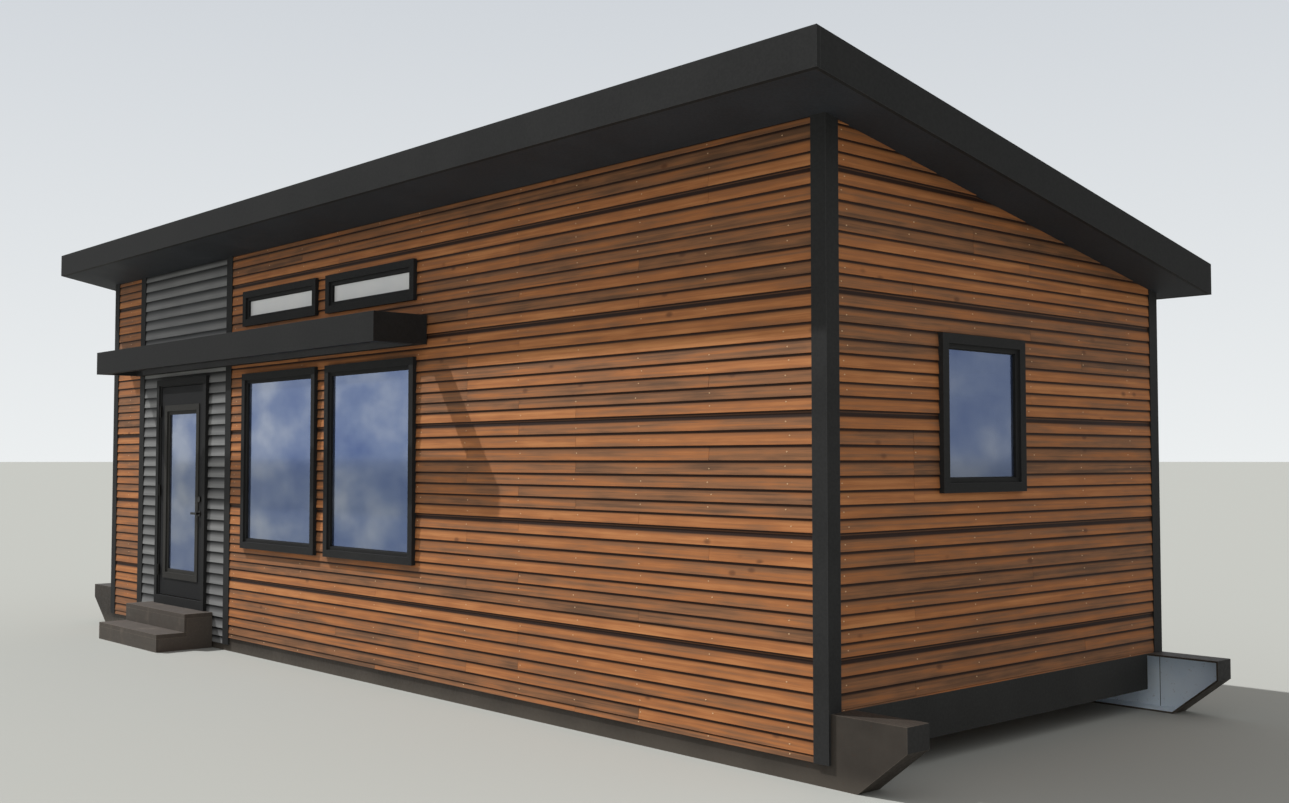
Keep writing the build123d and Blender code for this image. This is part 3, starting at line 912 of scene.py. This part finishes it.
        solids = Solids()
        for start, end, low, high in self.free_parts(self.start, self.end, self.bottom, self.top):
            start_high = min(high, top_at(start))
            end_high = min(high, top_at(end))
            if min(start_high, end_high) > low:
                solids.plain(outline(start, low, start_high), outline(end, low, end_high))
        solids.build(self.node + "_backing", behind)


def under_slope(part):
    """The pieces of a part that are left under the roof, each with its two top heights."""
    start, end, low, high = part
    meets_high = eave_y + (eave_z - high) / roof_fall
    meets_low = eave_y + (eave_z - low) / roof_fall
    pieces = []
    level_end = min(end, meets_high)
    if level_end > start:
        pieces.append((start, level_end, low, high, high))
    slant_start = max(start, meets_high)
    slant_end = min(end, meets_low)
    if slant_end > slant_start:
        pieces.append((slant_start, slant_end, low, roof_z(slant_start), roof_z(slant_end)))
    return pieces


def wood_tone(index):
    """Boards are brightest right under a wide gap and browner down to the next."""
    trend = tone_first + tone_step * (index % len(wood_faces))
    return min(tone_most, max(tone_least, random.gauss(trend, tone_spread)))


def grey_tone(index):
    """Painted boards differ little, whatever their place."""
    return random.uniform(grey_tone_least, grey_tone_most)


nails = Solids()


def wood_panel(wall, node, holes, sloped):
    """A panel of wooden boards with the strips in its gaps and the sheet behind them."""
    panel = Panel(wall, node, holes, sloped)
    solids = Solids()
    panel.clad(solids, wood_courses(panel.bottom, panel.top), wood_tone, nails)
    panel.fill_gaps(solids)
    boards = solids.build(node + "_boards", wood)
    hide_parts(node)
    panel.back()


def grey_panel():
    """The grey boards round the door, over a plain skirt board, with no nails in sight."""
    panel = Panel(front_wall, "door_siding", [front_wall.outline("door_casing")], False)
    solids = Solids()
    panel.clad(solids, grey_courses(siding_bottom, panel.top), grey_tone)
    skirt = (panel.start, panel.end, panel.bottom, siding_bottom, siding_bottom)
    panel.lay(solids, skirt, (panel.bottom, siding_bottom), 0.0, (0.0, 0.0), skirt_tone)
    boards = solids.build("door_siding_boards", grey)
    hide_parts("door_siding")
    panel.back()


wood_panel(front_wall, "front_siding_left", [], False)
wood_panel(front_wall, "front_siding_right", front_windows, False)
wood_panel(rear_wall, "rear_siding", [rear_wall.outline("rear_window_frame")], False)
wood_panel(right_wall, "end_siding_right", [right_wall.outline("right_window_frame")], True)
wood_panel(left_wall, "end_siding_left", [left_wall.outline("left_window_frame")], True)
grey_panel()
nails.build("siding_nails", nail_steel_and_glint)


def gasket(wall, name, rectangles, glass_out):
    """Rubber round the panes of one node, on their outer faces."""
    solids = Solids()
    for start, end, low, high in rectangles:
        start, end = start + glass_bite, end - glass_bite
        low, high = low + glass_bite, high - glass_bite
        bars = [
            (start, end, low, low + gasket_width),
            (start, end, high - gasket_width, high),
            (start, start + gasket_width, low + gasket_width, high - gasket_width),
            (end - gasket_width, end, low + gasket_width, high - gasket_width),
        ]
        for bar_start, bar_end, bottom, top in bars:
            face_out = glass_out + gasket_depth
            outline = [(glass_out, bottom), (face_out, bottom), (face_out, top), (glass_out, top)]
            solids.plain(*[[wall.place(along, out, up) for out, up in outline]
                           for along in (bar_start, bar_end)])
    solids.build(name, gasket_rubber)


def glass_face(wall, node):
    """How far out of the sheathing the outer face of a pane lies."""
    low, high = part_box(node)
    side = 1 - wall.axis
    face = high[side] if wall.out > 0 else low[side]
    return wall.out * (face - wall.sheathing)


def pane_pair(node):
    """The rectangles of two panes that share a node, as far apart as their windows."""
    start, end, low, high = front_wall.outline(node)
    edge = start - front_wall.outline("tall_window_frames")[0]
    width = pane_width - 2 * edge
    return [(start, start + width, low, high), (end - width, end, low, high)]


for kind in ("tall_window", "transom"):
    pane = kind + "_glass"
    gasket(front_wall, kind + "_gaskets", pane_pair(pane), glass_face(front_wall, pane))

for wall, side in ((right_wall, "right"), (left_wall, "left"), (rear_wall, "rear")):
    pane = side + "_window_glass"
    gasket(wall, side + "_window_gasket", [wall.outline(pane)], glass_face(wall, pane))


def skid_plates(node, material, inwards):
    """Plates on the inner face of a skid's web, one under each end of the cabin."""
    low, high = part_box(node)
    cabin_low, cabin_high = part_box("corner_trims_rear")
    web = low.y + skid_wall if inwards > 0 else high.y - skid_wall
    faces = sorted((web, web + inwards * plate_thickness))
    solids = Solids()
    for start in (cabin_low.x, cabin_high.x - plate_width):
        solids.box((start, faces[0], low.z + skid_wall),
                   (start + plate_width, faces[1], high.z - skid_wall))
    solids.build(node + "_plates", material)


skid_plates("skid_front", front_skid_steel, 1)
skid_plates("skid_rear", rear_skid_steel, -1)


# Floor, background, light and camera

def studio_floor():
    """A plain pale floor out to the horizon."""
    mesh = bpy.data.meshes.new("studio_floor")
    corners = [(x * floor_reach, y * floor_reach, 0) for x, y in ((-1, -1), (1, -1), (1, 1), (-1, 1))]
    mesh.from_pydata(corners, [], [(0, 1, 2, 3)])
    made = bpy.data.objects.new("studio_floor", mesh)
    bpy.context.scene.collection.objects.link(made)
    shader = Shader("studio_floor")
    mesh.materials.append(shader.done(Base_Color=screen(*floor_colour), Roughness=0.9,
                                      Specular_IOR_Level=0.0))


def studio_world():
    """Even fill light, with a pale sky behind the cabin and in its glass."""
    world = bpy.data.worlds.new("studio")
    bpy.context.scene.world = world
    world.use_nodes = True
    tree = world.node_tree
    tree.nodes.clear()
    kinds = ("TexCoord", "SeparateXYZ", "ValToRGB", "Background", "Background", "LightPath",
             "Math", "Math", "MixShader", "OutputWorld")
    direction, split, ramp, seen, fill, rays, glossy, through, mixed, out = [
        tree.nodes.new("ShaderNode" + kind) for kind in kinds]
    ramp.color_ramp.elements[0].color = screen(*sky_low_colour)
    ramp.color_ramp.elements[1].color = screen(*sky_high_colour)
    ramp.color_ramp.elements[1].position = sky_high_at
    fill.inputs["Color"].default_value = (1.0, 1.0, 1.0, 1.0)
    fill.inputs["Strength"].default_value = fill_strength
    glossy.operation = "MAXIMUM"
    through.operation = "MAXIMUM"
    links = [
        (direction.outputs["Generated"], split.inputs["Vector"]),
        (split.outputs["Z"], ramp.inputs["Fac"]),
        (ramp.outputs["Color"], seen.inputs["Color"]),
        (rays.outputs["Is Camera Ray"], glossy.inputs[0]),
        (rays.outputs["Is Glossy Ray"], glossy.inputs[1]),
        (glossy.outputs["Value"], through.inputs[0]),
        (rays.outputs["Is Transmission Ray"], through.inputs[1]),
        (through.outputs["Value"], mixed.inputs["Fac"]),
        (fill.outputs["Background"], mixed.inputs[1]),
        (seen.outputs["Background"], mixed.inputs[2]),
        (mixed.outputs["Shader"], out.inputs["Surface"]),
    ]
    for source, target in links:
        tree.links.new(source, target)


def key_light():
    """A distant lamp with slightly soft shadows."""
    lamp = bpy.data.lights.new("key_light", "SUN")
    lamp.energy = key_strength
    lamp.angle = math.radians(key_angle)
    made = bpy.data.objects.new("key_light", lamp)
    made.rotation_euler = Vector(key_direction).to_track_quat("-Z", "Y").to_euler()
    bpy.context.scene.collection.objects.link(made)


def photo_camera():
    """The camera at the photograph's place and angle."""
    lens = bpy.data.cameras.new("photo_camera")
    lens.lens = camera_lens
    lens.sensor_width = camera_sensor
    lens.clip_end = camera_far
    made = bpy.data.objects.new("photo_camera", lens)
    made.location = camera_place
    made.rotation_euler = (math.radians(camera_tilt), 0.0, math.radians(camera_turn))
    bpy.context.scene.collection.objects.link(made)
    bpy.context.scene.camera = made


studio_floor()
studio_world()
key_light()
photo_camera()
bpy.context.scene.view_settings.view_transform = "Standard"
